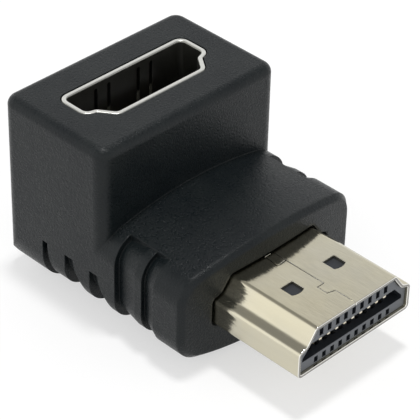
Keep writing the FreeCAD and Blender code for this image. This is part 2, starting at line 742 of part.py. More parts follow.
def plug_seat(name, profile, rear):
    """A plug of material the shape of the plug shell, from a place behind the front face to its tip."""
    return push(name, profile, plug_tip - rear, ACROSS_PLUG, rear, ZERO, plug_middle)


def inner_mould():
    """The inner mould, less the seats of both shells and the room round the board and its solder joints."""
    margin = S["void_margin"]
    half = board_half + S["mould_gap"]
    leg_side = S["plug_width"] / 2 + S["socket_clearance"] + S["socket_wall"] + margin
    tail_side = S["plug_width"] / 2 + margin
    low, high = board_bottom - S["leg_past_board"] - margin, socket_bottom + margin
    shoulder = board_front - S["board_neck_length"]
    rooms = [
        box("board_room", -board_back - S["mould_gap"], shoulder + margin, -half, half,
            board_bottom, board_top),
        box("solder_room", margin - board_back, shoulder, -leg_side, leg_side, low, high),
        box("tail_room", shoulder - margin, plug_rear + margin, -tail_side, tail_side,
            S["plug_level"], plug_top),
        socket_seat("socket_room", socket_seat_outline, S["socket_depth"]),
        plug_seat("plug_room", plug_seat_outline, plug_rear),
    ]
    return cut("inner_mould", inner_mould_form("inner_mould_form"), join("inner_mould_rooms", rooms))


# Housing: the outer moulding
def block(body):
    """The upright block, seen from above."""
    sketch = body_sketch(body, "XY_Plane", "block_plan", S["waist_height"])
    draw_outline(sketch, rectangle(-S["block_back"], S["block_front"], -half_width, half_width,
                                   S["block_corner_radius"]))
    pad(body, sketch, body_height - S["waist_height"])


def heel(body):
    """The heel below the block, behind the first grip step, with its lower edges rounded."""
    corner = S["block_corner_radius"]
    plan = body_sketch(body, "XY_Plane", "heel_plan")
    draw_outline(plan, [
        (-S["block_back"], -half_width, corner), (-S["grip_back"], -half_width),
        (-S["grip_back"], half_width), (-S["block_back"], half_width, corner),
    ])
    pad(body, plan, S["waist_height"])
    edges = body_sketch(body, "YZ_Plane", "heel_lower_edges", -S["grip_back"])
    for side in (-1, 1):
        spandrel(edges, side * half_width, side, S["heel_edge_radius"])
    pocket(body, edges, S["block_back"] + past)
    back = body_sketch(body, "XZ_Plane", "heel_back_edge", half_width + past)
    spandrel(back, -S["block_back"], -1, S["heel_back_radius"])
    pocket(body, back, S["body_width"] + 2 * past)


def spandrel(sketch, edge, side, radius):
    """The region outside a rounded lower edge: the arc, and straight sides beyond the solid."""
    inner = edge - side * radius
    outer = edge + side * past
    start, end = Vector(inner.number, 0, 0), Vector(edge.number, radius.number, 0)
    center = Vector(inner.number, radius.number, 0)
    first, last = (-math.pi / 2, 0) if side > 0 else (math.pi, math.pi * 1.5)
    arc = sketch.addGeometry(Part.ArcOfCircle(Part.Circle(center, Vector(0, 0, 1), radius.number),
                                              first, last), False)
    low_end, high_end = (1, 2) if side > 0 else (2, 1)
    below = -past.number
    spots = [end, Vector(outer.number, radius.number, 0), Vector(outer.number, below, 0),
             Vector(inner.number, below, 0), start]
    lines = [sketch.addGeometry(Part.LineSegment(a, b), False) for a, b in zip(spots, spots[1:])]
    sketch.addConstraint(Sketcher.Constraint("Coincident", arc, high_end, lines[0], 1))
    for before, after in zip(lines, lines[1:]):
        sketch.addConstraint(Sketcher.Constraint("Coincident", before, 2, after, 1))
    sketch.addConstraint(Sketcher.Constraint("Coincident", lines[-1], 2, arc, low_end))
    fix_point(sketch, arc, 3, inner, radius)
    fix_radius(sketch, arc, radius)
    fix_point(sketch, lines[0], 2, outer, radius)
    fix_point(sketch, lines[1], 2, outer, -past)
    fix_point(sketch, lines[2], 2, inner, -past)
    sketch.addConstraint(Sketcher.Constraint("Horizontal", lines[0]))
    sketch.addConstraint(Sketcher.Constraint("Vertical", lines[3]))


def crown_radius(rise):
    """The radius of an arc as wide as the housing that rises so much."""
    return (half_width * half_width + rise * rise) / (2 * rise)


def root(length):
    """The square root of a length's number."""
    return Length(math.sqrt(length.number), f"sqrt({length.text})")


class Crown:
    """One crowned side of the arm: its big arc and the rounded corners at both ends."""

    def __init__(self, radius, corner, level, up, half):
        self.radius, self.corner, self.up = radius, corner, up
        self.center = level - up * radius
        self.run = half - corner
        self.drop = root((radius - corner) * (radius - corner) - self.run * self.run)
        self.corner_center = self.center + up * self.drop
        self.end_across = self.run * radius / (radius - corner)
        self.end_level = self.center + up * (self.drop * radius / (radius - corner))

    def add_corner(self, sketch, side):
        """Add the corner arc on one side; its ends are (on the crown, on the upright side)."""
        lean = math.atan2(self.drop.number, self.run.number)
        low, high = (0, lean) if self.up > 0 else (-lean, 0)
        if side < 0:
            low, high = math.pi - high, math.pi - low
        center = Vector(side * self.run.number, self.corner_center.number, 0)
        arc = sketch.addGeometry(Part.ArcOfCircle(
            Part.Circle(center, Vector(0, 0, 1), self.corner.number), low, high), False)
        fix_radius(sketch, arc, self.corner)
        return (arc, 2, 1) if side * self.up > 0 else (arc, 1, 2)

    def add_crown(self, sketch):
        """Add the big arc; its ends are (right, left)."""
        lean = math.atan2(self.run.number, self.drop.number)
        upright = self.up * math.pi / 2
        arc = sketch.addGeometry(Part.ArcOfCircle(
            Part.Circle(Vector(0, self.center.number, 0), Vector(0, 0, 1), self.radius.number),
            upright - lean, upright + lean), False)
        fix_point(sketch, arc, 3, ZERO, self.center)
        fix_radius(sketch, arc, self.radius)
        return (arc, 1, 2) if self.up > 0 else (arc, 2, 1)


top_crown = Crown(crown_radius(S["arm_top_crown"]), S["arm_top_radius"], arm_height, 1, half_width)


def draw_arm_section(sketch, top=None, closed=False, out=ZERO, fuller=ZERO):
    """Draw the arm's section seen along the plug: all round, over the upper corners, or up to a level."""
    def touch(one, other):
        sketch.addConstraint(Sketcher.Constraint("Tangent", *one, *other))

    half = half_width + out
    low_crown = Crown(crown_radius(S["arm_bottom_crown"]), S["arm_bottom_radius"] + out + fuller,
                      ZERO, -1, half)
    under, right_end, left_end = low_crown.add_crown(sketch)
    upper_ends = []
    for side, end in ((1, right_end), (-1, left_end)):
        corner, on_crown, on_side = low_crown.add_corner(sketch, side)
        touch((under, end), (corner, on_crown))
        high = top or top_crown.corner_center
        foot = Vector(side * half.number, low_crown.corner_center.number, 0)
        line = sketch.addGeometry(Part.LineSegment(foot, Vector(foot.x, high.number, 0)), False)
        sketch.addConstraint(Sketcher.Constraint("Vertical", line))
        touch((corner, on_side), (line, 1))
        if top:
            fix_point(sketch, line, 2, side * half, top)
            continue
        index = sketch.addConstraint(Sketcher.Constraint("DistanceX", line, 2, foot.x))
        sketch.setExpression(f"Constraints[{index}]", (side * half).text)
        corner, on_crown, on_side = top_crown.add_corner(sketch, side)
        touch((line, 2), (corner, on_side))
        if not closed:
            fix_point(sketch, corner, on_crown, side * top_crown.end_across, top_crown.end_level)
        upper_ends.append((corner, on_crown))
    if closed:
        over, right_end, left_end = top_crown.add_crown(sketch)
        touch((over, right_end), upper_ends[0])
        touch((over, left_end), upper_ends[1])


def draw_front_bow(sketch):
    """The room before the bowed front face, seen from above and wider than the arm."""
    radius = crown_radius(S["arm_front_bow"])
    center = S["arm_reach"] - radius
    wide = half_width + past
    front = S["arm_reach"] + past
    lean = math.asin(wide.number / radius.number)
    arc = sketch.addGeometry(Part.ArcOfCircle(
        Part.Circle(Vector(center.number, 0, 0), Vector(0, 0, 1), radius.number), -lean, lean), False)
    fix_point(sketch, arc, 3, center, ZERO)
    fix_radius(sketch, arc, radius)
    right, left = sketch.getPoint(arc, 1), sketch.getPoint(arc, 2)
    corners = [left, Vector(front.number, left.y, 0), Vector(front.number, right.y, 0), right]
    lines = [sketch.addGeometry(Part.LineSegment(*ends), False) for ends in zip(corners, corners[1:])]
    ring = [arc] + lines
    for i, line in enumerate(lines):
        sketch.addConstraint(Sketcher.Constraint("Coincident", ring[i], 2, line, 1))
    sketch.addConstraint(Sketcher.Constraint("Coincident", lines[-1], 2, arc, 1))
    sketch.addConstraint(Sketcher.Constraint("Horizontal", lines[0]))
    sketch.addConstraint(Sketcher.Constraint("Horizontal", lines[-1]))
    fix_point(sketch, lines[1], 1, front, wide)
    fix_point(sketch, lines[1], 2, front, -wide)


def arm(body):
    """The arm: upright sides, crowned top and underside, and a bowed front face with bevelled edges."""
    section = body_sketch(body, "YZ_Plane", "arm_section", -S["grip_back"])
    draw_arm_section(section, closed=True)
    pad(body, section, S["arm_reach"] + S["grip_back"])
    front = body_sketch(body, "XY_Plane", "arm_front", arm_height + past)
    draw_front_bow(front)
    pocket(body, front, arm_height + 2 * past)
    rim = (S["arm_reach"] - S["arm_front_bow"] - S["arm_front_bevel"]).number
    bevel_edges(body, "arm_front_edges", S["arm_front_bevel"], lambda edge: middle(edge).x > rim)


# Grip: five steps that face the plug; each rib rises from one step to the next
def rib_profile(sketch, surface, outward, step_at, depth, run, end_depth, end_at=None):
    """The room over a rib: from the foot of its step up the ramp to its end, and level from there."""
    crest = step_at + run
    floor, ridge, top = (surface - outward * depth, surface - outward * end_depth,
                         surface + outward * S["grip_depth"])
    corners = [(step_at, floor), (crest, ridge), (crest if end_at is None else end_at, top), (step_at, top)]
    if end_at is not None:
        corners.insert(2, (end_at, ridge))
    draw_outline(sketch, corners)


def sweep_out(body, profile, path):
    """Take away what a profile passes over along a path."""
    document.recompute()
    groove = body.newObject("PartDesign::SubtractivePipe", f"{profile.Name}_groove")
    groove.Profile = profile
    groove.Spine = (path, [f"Edge{i}" for i in range(1, len(path.Shape.Edges) + 1)])


def grip(body):
    """Cut the ribs: the rear three on the sides and underside, the front two over the arm's edges too."""
    rise = S["grip_side_rise"]
    lower_path = body_sketch(body, "YZ_Plane", "lower_grip_path")
    draw_arm_section(lower_path, top=S["grip_height"], out=rise, fuller=S["grip_corner"])
    upper_path = body_sketch(body, "YZ_Plane", "upper_grip_path")
    draw_arm_section(upper_path, fuller=S["arm_grip_corner"])
    second = S["grip_first"] - S["grip_back"]
    steps = [-S["grip_back"]] + [second + i * S["grip_pitch"] for i in range(4)]
    over = -S["grip_over"]
    lower_ribs = [
        (steps[0], S["grip_back_depth"], S["grip_back_run"]),
        (steps[1], S["grip_depth"], S["grip_run"]),
        (steps[2], S["grip_depth"], S["grip_run"]),
    ]
    for number, (step_at, depth, run) in enumerate(lower_ribs, start=1):
        profile = body_sketch(body, "XY_Plane", f"rib_{number}", S["grip_height"])
        rib_profile(profile, -half_width - rise, -1, step_at, depth, run, over)
        sweep_out(body, profile, lower_path)
    upper_ribs = [
        (steps[3], S["grip_run"], S["strip_depth"], steps[4]),
        (steps[4], S["grip_end_run"], over, None),
    ]
    for number, (step_at, run, end_depth, end_at) in enumerate(upper_ribs, start=4):
        profile = body_sketch(body, "XZ_Plane", f"rib_{number}", top_crown.end_across)
        rib_profile(profile, top_crown.end_level, 1, step_at, S["arm_grip_depth"], run, end_depth, end_at)
        sweep_out(body, profile, upper_path)


def housing_form():
    """The outside of the housing as one body."""
    body = document.addObject("PartDesign::Body", "housing_form")
    heel(body)
    block(body)
    round_edges(body, "block_top_edges", S["block_top_radius"],
                lambda edge: near(middle(edge).z, body_height))
    arm(body)
    grip(body)
    return body


def housing():
    """The housing, less the inner mould's room and the openings of plug and socket."""
    rooms = [
        inner_mould_form("housing_room"),
        socket_seat("socket_opening", socket_seat_outline, S["mould_rim_setback"] + past),
        plug_seat("plug_opening", plug_seat_outline, mould_reach - past),
        socket_seat("socket_rim_gap", socket_rim_outline, S["rim_gap_depth"]),
        plug_seat("plug_root_recess", plug_root_outline, S["arm_reach"] - S["root_depth"]),
    ]
    return cut("housing", housing_form(), join("housing_openings", rooms))


# Build
plug_contacts, plug_slots, plug_beds = plug_rows()
socket_contacts, socket_grooves = socket_rows()
NODES = [
    housing(), inner_mould(), circuit_board(), plug_shell(), plug_insert(plug_slots, plug_beds),
    socket_shell(), socket_insert(socket_grooves),
] + plug_contacts + socket_contacts
for node in NODES:
    bind(node, "Placement.Base.x", S["origin_setback"])
document.recompute()

for item in document.Objects:
    if "Invalid" in item.State or "Error" in item.State:
        raise RuntimeError(f"{item.Name}: {item.State}")
for node in NODES:
    node.Label = node.Name
    if node.Shape.isNull() or not node.Shape.isValid() or len(node.Shape.Solids) != 1:
        raise RuntimeError(f"{node.Name} is not one valid solid")

os.makedirs("parts", exist_ok=True)
for node in NODES:
    node.Shape.exportStep(f"parts/{node.Name}.step")
    print(node.Name, round(node.Shape.Volume, 2))
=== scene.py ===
import math

import bpy
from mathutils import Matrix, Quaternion, Vector


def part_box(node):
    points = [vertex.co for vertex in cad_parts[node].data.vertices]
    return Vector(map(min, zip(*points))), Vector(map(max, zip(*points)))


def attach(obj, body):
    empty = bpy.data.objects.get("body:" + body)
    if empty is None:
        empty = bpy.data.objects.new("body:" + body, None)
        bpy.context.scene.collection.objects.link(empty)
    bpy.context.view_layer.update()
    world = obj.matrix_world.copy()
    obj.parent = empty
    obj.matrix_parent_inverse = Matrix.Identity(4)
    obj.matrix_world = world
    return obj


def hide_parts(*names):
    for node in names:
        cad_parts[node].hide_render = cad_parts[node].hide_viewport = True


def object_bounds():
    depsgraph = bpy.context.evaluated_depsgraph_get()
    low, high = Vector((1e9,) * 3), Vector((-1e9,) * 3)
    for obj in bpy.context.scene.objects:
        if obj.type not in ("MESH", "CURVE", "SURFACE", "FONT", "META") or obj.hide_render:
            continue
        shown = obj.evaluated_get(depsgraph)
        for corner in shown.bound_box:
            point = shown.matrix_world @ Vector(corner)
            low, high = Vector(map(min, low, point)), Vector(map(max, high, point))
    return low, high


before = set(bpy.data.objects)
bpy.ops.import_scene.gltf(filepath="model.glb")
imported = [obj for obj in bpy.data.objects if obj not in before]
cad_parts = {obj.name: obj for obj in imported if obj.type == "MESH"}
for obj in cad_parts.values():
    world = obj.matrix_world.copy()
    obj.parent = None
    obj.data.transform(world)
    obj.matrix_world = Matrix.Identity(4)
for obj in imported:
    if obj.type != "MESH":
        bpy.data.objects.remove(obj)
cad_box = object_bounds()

# Right angle adapter for the flat 19-contact video connector, put together in the order of its assembly:
# contacts, socket, circuit board, plug, inner mould and housing, and then the table, the light and the
# camera. All sizes are in metres.

# Contacts: strips stamped from thin bronze sheet, gold plated, pressed into the two inserts.
# Each is a plain bent strip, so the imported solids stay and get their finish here.
CONTACT_GOLD = (0.86, 0.66, 0.32)
CONTACT_WORN = (0.70, 0.60, 0.40)
FINE_MARKS = 0.00002


def add_node(tree, kind, settings=None, **inputs):
    """Add a node with its settings; an input, _0 for the first, is a value or the socket that feeds it."""
    node = tree.nodes.new(kind)
    for name, value in (settings or {}).items():
        setattr(node, name, value)
    for name, value in inputs.items():
        key = int(name[1:]) if name[0] == "_" else name.replace("_", " ")
        if isinstance(value, bpy.types.NodeSocket):
            tree.links.new(value, node.inputs[key])
        else:
            node.inputs[key].default_value = value
    return node


def noise(tree, place, scale, detail, **more):
    """Noise between 0 and 1 over a place."""
    return add_node(tree, "ShaderNodeTexNoise", Vector=place, Scale=scale, Detail=detail, **more).outputs[0]


def map_range(tree, value, **levels):
    """Carry a value from one range over to another, each 0 to 1 where it isn't given."""
    return add_node(tree, "ShaderNodeMapRange", Value=value, **levels).outputs[0]


def colour(rgb):
    """A colour with its alpha."""
    return (*rgb, 1.0)


def mix_colours(tree, share, first, second):
    """Blend two colours by a mask."""
    node = tree.nodes.new("ShaderNodeMix")
    node.data_type = "RGBA"
    # for colours the node has its factor in input 0, the two in 6 and 7, and its result in output 2
    for key, value in ((0, share), (6, first), (7, second)):
        if isinstance(value, bpy.types.NodeSocket):
            tree.links.new(value, node.inputs[key])
        else:
            node.inputs[key].default_value = value if key == 0 else colour(value)
    return node.outputs[2]


def set_bump(tree, shader, height, strength, distance, normal=None):
    """Bump the shader by a height, over softly rounded edges where their normal is given."""
    bump = add_node(tree, "ShaderNodeBump", Height=height, Strength=strength, Distance=distance)
    if normal:
        tree.links.new(normal, bump.inputs["Normal"])
    tree.links.new(bump.outputs[0], shader.inputs["Normal"])


def new_material(name, **sockets):
    """A material with one Principled shader, its constant sockets set."""
    material = bpy.data.materials.new(name)
    material.use_nodes = True
    tree = material.node_tree
    shader = tree.nodes["Principled BSDF"]
    for key, value in sockets.items():
        shader.inputs[key.replace("_", " ")].default_value = value
    place = add_node(tree, "ShaderNodeTexCoord").outputs["Object"]
    return material, tree, shader, place


def dress(names, material):
    """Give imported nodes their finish."""
    for name in names:
        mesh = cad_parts[name].data
        mesh.materials.clear()
        mesh.materials.append(material)


def contact_finish(name, plated, worn):
    """Metal plating, rubbed paler where a mating contact slides."""
    material, tree, shader, place = new_material(name, Metallic=1.0)
    rub = noise(tree, place, scale=2500.0, detail=3.0)
    tree.links.new(mix_colours(tree, rub, plated, worn), shader.inputs["Base Color"])
    tree.links.new(map_range(tree, rub, To_Min=0.22, To_Max=0.42), shader.inputs["Roughness"])
    set_bump(tree, shader, rub, strength=0.2, distance=FINE_MARKS)
    return material


dress([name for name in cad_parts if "_contact_" in name],
      contact_finish("contact_gold", CONTACT_GOLD, CONTACT_WORN))

# Contact tips: the ends of the plug's upper row, rolled over and resting under the web at the front of
# the mouth, where each catches the light as a small bright dot. Their near-white colour is a painted
# highlight that makes the dot.
CONTACT_TIP_HIGHLIGHT = (0.90, 0.88, 0.82)
TIP_SETBACK = 0.00003
TIP_LENGTH = 0.0020
TIP_WIDTH = 0.00036
TIP_HEIGHT = 0.00028
TIP_ROUND = 0.00008
MOUTH_CEILING = 0.00675


def box_piece(name, low, high):
    """A plain box between two corners, its place in its mesh."""
    bpy.ops.object.select_all(action="DESELECT")
    low, high = Vector(low), Vector(high)
    bpy.ops.mesh.primitive_cube_add(size=1.0, location=(low + high) / 2)
    piece = bpy.context.object
    piece.name = name
    piece.scale = high - low
    bpy.ops.object.transform_apply(location=True, rotation=False, scale=True)
    return piece


def pick(*pieces):
    """Select these pieces and nothing else, the first of them active."""
    bpy.ops.object.select_all(action="DESELECT")
    for piece in pieces:
        piece.select_set(True)
    bpy.context.view_layer.objects.active = pieces[0]


def join_pieces(name, pieces):
    """One object out of several."""
    pick(*pieces)
    bpy.ops.object.join()
    pieces[0].name = name
    bpy.ops.object.transform_apply(location=True)
    return pieces[0]


def apply_modifier(piece, kind, **settings):
    """Add a modifier with its settings and apply it."""
    modifier = piece.modifiers.new(kind.lower(), kind)
    for key, value in settings.items():
        setattr(modifier, key, value)
    bpy.context.view_layer.objects.active = piece
    bpy.ops.object.modifier_apply(modifier=modifier.name)


def finish_piece(piece, material, stands_for=()):
    """Give a piece its finish, hang it on the body it rides on, and hide the imported parts it stands for.
    """
    piece.data.materials.clear()
    piece.data.materials.append(material)
    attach(piece, "root")
    if stands_for:
        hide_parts(*stands_for)


def contact_tips():
    """A rounded strip in front of each contact of the upper row."""
    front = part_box("plug_insulator")[1].x - TIP_SETBACK
    strips = []
    for name in sorted(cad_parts):
        if name.startswith("plug_contact_upper_"):
            low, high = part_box(name)
            across = (low.y + high.y) / 2
            strips.append(box_piece(name + "_tip",
                                    (front - TIP_LENGTH, across - TIP_WIDTH / 2, MOUTH_CEILING - TIP_HEIGHT),
                                    (front, across + TIP_WIDTH / 2, MOUTH_CEILING)))
    tips = join_pieces("plug_contact_tips", strips)
    apply_modifier(tips, "BEVEL", width=TIP_ROUND, segments=2, limit_method="NONE")
    return tips


# the tips' near-white colour, mixed with wear, is a painted highlight
finish_piece(contact_tips(), contact_finish("contact_tip", CONTACT_TIP_HIGHLIGHT, CONTACT_WORN))

# Socket insert: black moulded block that closes the socket's bottom and carries the tongue.
# It is a smooth injection moulding, pushed into the shell from below.
SOCKET_PLASTIC = (0.018, 0.018, 0.020)
FLOW_PALER = 1.25
FLOW_ROUGHER = 0.06


def new_group(name, inputs, outputs):
    """A node group with number inputs, a vector input called Place and the named outputs."""
    group = bpy.data.node_groups.new(name, "ShaderNodeTree")
    group.interface.new_socket("Place", in_out="INPUT", socket_type="NodeSocketVector")
    for title, value in inputs.items():
        socket = group.interface.new_socket(title, in_out="INPUT", socket_type="NodeSocketFloat")
        socket.default_value = value
    for title in outputs:
        kind = "NodeSocketVector" if title == "Normal" else "NodeSocketFloat"
        group.interface.new_socket(title, in_out="OUTPUT", socket_type=kind)
    start = group.nodes.new("NodeGroupInput")
    end = group.nodes.new("NodeGroupOutput")
    return group, start.outputs, end.inputs


def use_group(tree, group, place, **inputs):
    """Place a node group in a material with its own values."""
    return add_node(tree, "ShaderNodeGroup", {"node_tree": group}, Place=place, **inputs).outputs


def moulded_grain():
    """Grain of a spark-eroded mould: fine pits, soft cloudy patches and the height for a bump."""
    group, given, result = new_group("moulded_grain", {"Grain Scale": 5000.0, "Cloud Scale": 300.0},
                                     ["Height", "Pits", "Clouds"])
    fine = noise(group, given["Place"], given["Grain Scale"], detail=3.0, Roughness=0.65)
    coarse = noise(group, given["Place"], given["Cloud Scale"], detail=4.0, Roughness=0.6)
    group.links.new(fine, result["Height"])
    group.links.new(map_range(group, fine, From_Min=0.35, From_Max=0.65), result["Pits"])
    group.links.new(map_range(group, coarse, From_Min=0.35, From_Max=0.65), result["Clouds"])
    return group


GRAIN = moulded_grain()


def insert_finish(name, base, roughness):
    """Smooth moulded plastic with a faint flow pattern."""
    material, tree, shader, place = new_material(name, Specular_IOR_Level=0.4)
    grain = use_group(tree, GRAIN, place, Grain_Scale=9000.0, Cloud_Scale=700.0)
    pale = tuple(min(1.0, part * FLOW_PALER) for part in base)
    tree.links.new(mix_colours(tree, grain["Clouds"], base, pale), shader.inputs["Base Color"])
    rough = map_range(tree, grain["Pits"], To_Min=roughness - FLOW_ROUGHER, To_Max=roughness + FLOW_ROUGHER)
    tree.links.new(rough, shader.inputs["Roughness"])
    set_bump(tree, shader, grain["Height"], strength=0.15, distance=FINE_MARKS)
    return material


dress(["socket_insulator"], insert_finish("socket_plastic", SOCKET_PLASTIC, roughness=0.45))

# Socket shell: nickel plated steel sheet folded round the insert, with four spring fingers and four legs.
# Its rim top is painted bright as a painted highlight. The whole sheet is painted a dull, darker nickel,
# partly as painted shade for the inside, which lies in its own shadow.
NICKEL_COOL = (0.57, 0.58, 0.57)
NICKEL_RUBBED_AND_HIGHLIT = (0.86, 0.84, 0.78)
NICKEL_ROUGHER = 0.02
SHEET_WAVE = 0.022
BAND_SHARES = (0.12, 0.09, 0.09)


def calculate(tree, operation, *values, **settings):
    """A number worked out by one Math node."""
    inputs = {f"_{key}": value for key, value in enumerate(values)}
    return add_node(tree, "ShaderNodeMath", {"operation": operation, **settings}, **inputs).outputs[0]


# the edges found here are painted paler in the nickel and housing finishes, partly as wear and partly as
# painted highlight
def edge_wear_and_highlight():
    """The normal of softly rounded edges and the mask of where it leaves the true one, broken by noise."""
    group, given, result = new_group("edge_wear_and_highlight", {"Radius": 0.0002, "Strength": 6.0, "Break Scale": 900.0},
                                     ["Edge", "Normal"])
    rounded = add_node(group, "ShaderNodeBevel", {"samples": 6}, Radius=given["Radius"]).outputs[0]
    true = add_node(group, "ShaderNodeNewGeometry").outputs["Normal"]
    agree = add_node(group, "ShaderNodeVectorMath", {"operation": "DOT_PRODUCT"}, _0=rounded, _1=true)
    leave = calculate(group, "SUBTRACT", 1.0, agree.outputs["Value"])
    scaled = calculate(group, "MULTIPLY", leave, given["Strength"], use_clamp=True)
    broken = map_range(group, noise(group, given["Place"], given["Break Scale"], detail=4.0),
                       From_Min=0.3, From_Max=0.6)
    group.links.new(calculate(group, "MULTIPLY", scaled, broken), result["Edge"])
    group.links.new(rounded, result["Normal"])
    return group


def rolled_lines():
    """Fine lines left along X by rolling and polishing the sheet, and wider soft bands between them."""
    group, given, result = new_group("rolled_lines", {"Along": 120.0, "Across": 7000.0}, ["Lines", "Bands"])
    place = add_node(group, "ShaderNodeSeparateXYZ", _0=given["Place"]).outputs
    stretched = add_node(group, "ShaderNodeCombineXYZ",
                         X=calculate(group, "MULTIPLY", place["X"], given["Along"]),
                         Y=calculate(group, "MULTIPLY", place["Y"], given["Across"]),
                         Z=calculate(group, "MULTIPLY", place["Z"], given["Across"])).outputs[0]
    wide = add_node(group, "ShaderNodeVectorMath", {"operation": "MULTIPLY"}, _0=stretched, _1=BAND_SHARES)
    group.links.new(noise(group, stretched, scale=1.0, detail=4.0), result["Lines"])
    group.links.new(noise(group, wide.outputs[0], scale=1.0, detail=3.0), result["Bands"])
    return group


EDGES = edge_wear_and_highlight()
ROLLED = rolled_lines()


def nickel_finish(name, base, dark, along, across, roughness, bump):
    """Nickel plated sheet with fine lines, soft bands, a slight waviness and edges painted bright, partly as
    rubbing and partly as a painted highlight.
    """
    material, tree, shader, place = new_material(name, Metallic=1.0)
    drawn = use_group(tree, ROLLED, place, Along=along, Across=across)
    edge = use_group(tree, EDGES, place, Radius=0.0001, Strength=4.0, Break_Scale=1500.0)
    clouds = use_group(tree, GRAIN, place, Grain_Scale=5000.0, Cloud_Scale=150.0)["Clouds"]
    tint = map_range(tree, clouds, To_Max=0.25)
    sheet = mix_colours(tree, tint, mix_colours(tree, drawn["Bands"], base, dark), NICKEL_COOL)
    # edges painted bright: partly rubbing, partly a painted highlight
    tree.links.new(mix_colours(tree, edge["Edge"], sheet, NICKEL_RUBBED_AND_HIGHLIT), shader.inputs["Base Color"])
    rough = map_range(tree, drawn["Bands"], From_Min=0.3, From_Max=0.7,
                      To_Min=roughness - NICKEL_ROUGHER, To_Max=roughness + NICKEL_ROUGHER)
    tree.links.new(rough, shader.inputs["Roughness"])
    lean = map_range(tree, drawn["Lines"], From_Min=0.3, From_Max=0.7, To_Min=-SHEET_WAVE, To_Max=SHEET_WAVE)
    wave = add_node(tree, "ShaderNodeCombineXYZ", X=lean).outputs[0]
    tilted = add_node(tree, "ShaderNodeVectorMath", {"operation": "ADD"}, _0=edge["Normal"], _1=wave)
    set_bump(tree, shader, drawn["Lines"], strength=bump, distance=FINE_MARKS, normal=tilted.outputs[0])
    return material


def repaint(material, axis, level, skin, rgb):
    """Another colour on the last skin of the piece below a level of an axis, blended in over half of it."""
    tree = material.node_tree
    place = add_node(tree, "ShaderNodeTexCoord").outputs["Object"]
    along = add_node(tree, "ShaderNodeSeparateXYZ", _0=place).outputs[axis]
    mask = map_range(tree, along, From_Min=level - skin, From_Max=level - skin / 2)
    painted = tree.nodes["Principled BSDF"].inputs["Base Color"]
    tree.links.new(mix_colours(tree, mask, painted.links[0].from_socket, rgb), painted)
    return material


WELD = 0.000002
FLAT_ANGLE = math.radians(0.5)
SMOOTH_ANGLE = math.radians(35.0)
FACING = 0.99


def merged_copy(node, name):
    """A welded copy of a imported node, which may be cut and rounded."""
    piece = bpy.data.objects.new(name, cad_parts[node].data.copy())
    bpy.context.scene.collection.objects.link(piece)
    pick(piece)
    bpy.ops.object.mode_set(mode="EDIT")
    bpy.ops.mesh.select_all(action="SELECT")
    bpy.ops.mesh.remove_doubles(threshold=WELD)
    bpy.ops.mesh.dissolve_limited(angle_limit=FLAT_ANGLE)
    bpy.ops.mesh.customdata_custom_splitnormals_clear()
    bpy.ops.object.mode_set(mode="OBJECT")
    return piece


def round_rim(piece, axis, level, size):
    """Round both edges of the rim that faces along an axis at a level."""
    pick(piece)
    bpy.ops.object.mode_set(mode="EDIT")
    bpy.ops.mesh.select_all(action="DESELECT")
    bpy.ops.mesh.select_mode(type="FACE")
    bpy.ops.object.mode_set(mode="OBJECT")
    for face in piece.data.polygons:
        face.select = face.normal[axis] > FACING and abs(face.center[axis] - level) < WELD
    bpy.ops.object.mode_set(mode="EDIT")
    bpy.ops.mesh.region_to_loop()
    bpy.ops.mesh.bevel(offset=size, segments=3, affect="EDGES", clamp_overlap=True)
    bpy.ops.object.mode_set(mode="OBJECT")


def smooth_piece(piece):
    """Outward normals, smooth over soft bends and sharp at folded edges."""
    pick(piece)
    bpy.ops.object.mode_set(mode="EDIT")
    bpy.ops.mesh.select_all(action="SELECT")
    bpy.ops.mesh.normals_make_consistent(inside=False)
    bpy.ops.object.mode_set(mode="OBJECT")
    bpy.ops.object.shade_smooth_by_angle(angle=SMOOTH_ANGLE)
    apply_modifier(piece, "WEIGHTED_NORMAL", keep_sharp=True)


# the socket's dull base colour is partly painted shade for its inside
SOCKET_DULL_AND_SHADED = (0.38, 0.38, 0.34)
SOCKET_DARK = (0.26, 0.26, 0.24)
SOCKET_RIM_HIGHLIGHT = (0.78, 0.78, 0.74)
SOCKET_RIM_ROUND = 0.00015
RIM_HIGHLIGHT_SKIN = 0.00003

socket_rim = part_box("socket_shell")[1].z
socket_sheet = merged_copy("socket_shell", "socket_shell_rounded")
round_rim(socket_sheet, 2, socket_rim, SOCKET_RIM_ROUND)
smooth_piece(socket_sheet)
socket_nickel = nickel_finish("socket_nickel", SOCKET_DULL_AND_SHADED, SOCKET_DARK,
                              along=3000.0, across=3000.0, roughness=0.3, bump=0.12)
# painted highlight along the top of the rim
repaint(socket_nickel, "Z", socket_rim, RIM_HIGHLIGHT_SKIN, SOCKET_RIM_HIGHLIGHT)
finish_piece(socket_sheet, socket_nickel, ["socket_shell"])

# Circuit board: glass fibre laminate with green solder mask that joins the two rows of tails.
# It lies inside the inner mould and is never seen.
MASK_GREEN = (0.02, 0.15, 0.06)
MASK_PALER = 1.5


def board_finish():
    """Solder mask over a woven laminate."""
    material, tree, shader, place = new_material("board_mask", Specular_IOR_Level=0.5, Coat_Weight=0.2,
                                                 Roughness=0.35)
    weave = add_node(tree, "ShaderNodeTexWave", Vector=place, Scale=900.0, Distortion=1.0).outputs["Fac"]
    pale = tuple(part * MASK_PALER for part in MASK_GREEN)
    tree.links.new(mix_colours(tree, weave, MASK_GREEN, pale), shader.inputs["Base Color"])
    set_bump(tree, shader, weave, strength=0.1, distance=FINE_MARKS)
    return material


dress(["circuit_board"], board_finish())

# Plug insert: dark grey moulded block with the mouth and the slots of both contact rows.
# It is pushed into the plug shell from behind. Its front face is painted paler as painted light, and the
# rest, with the mouth and the slots, is painted darker as painted shade.
PLUG_SHADED_PLASTIC = (0.020, 0.023, 0.029)
PLUG_FACE_LIT = (0.150, 0.160, 0.175)
LIT_FACE_SKIN = 0.00003

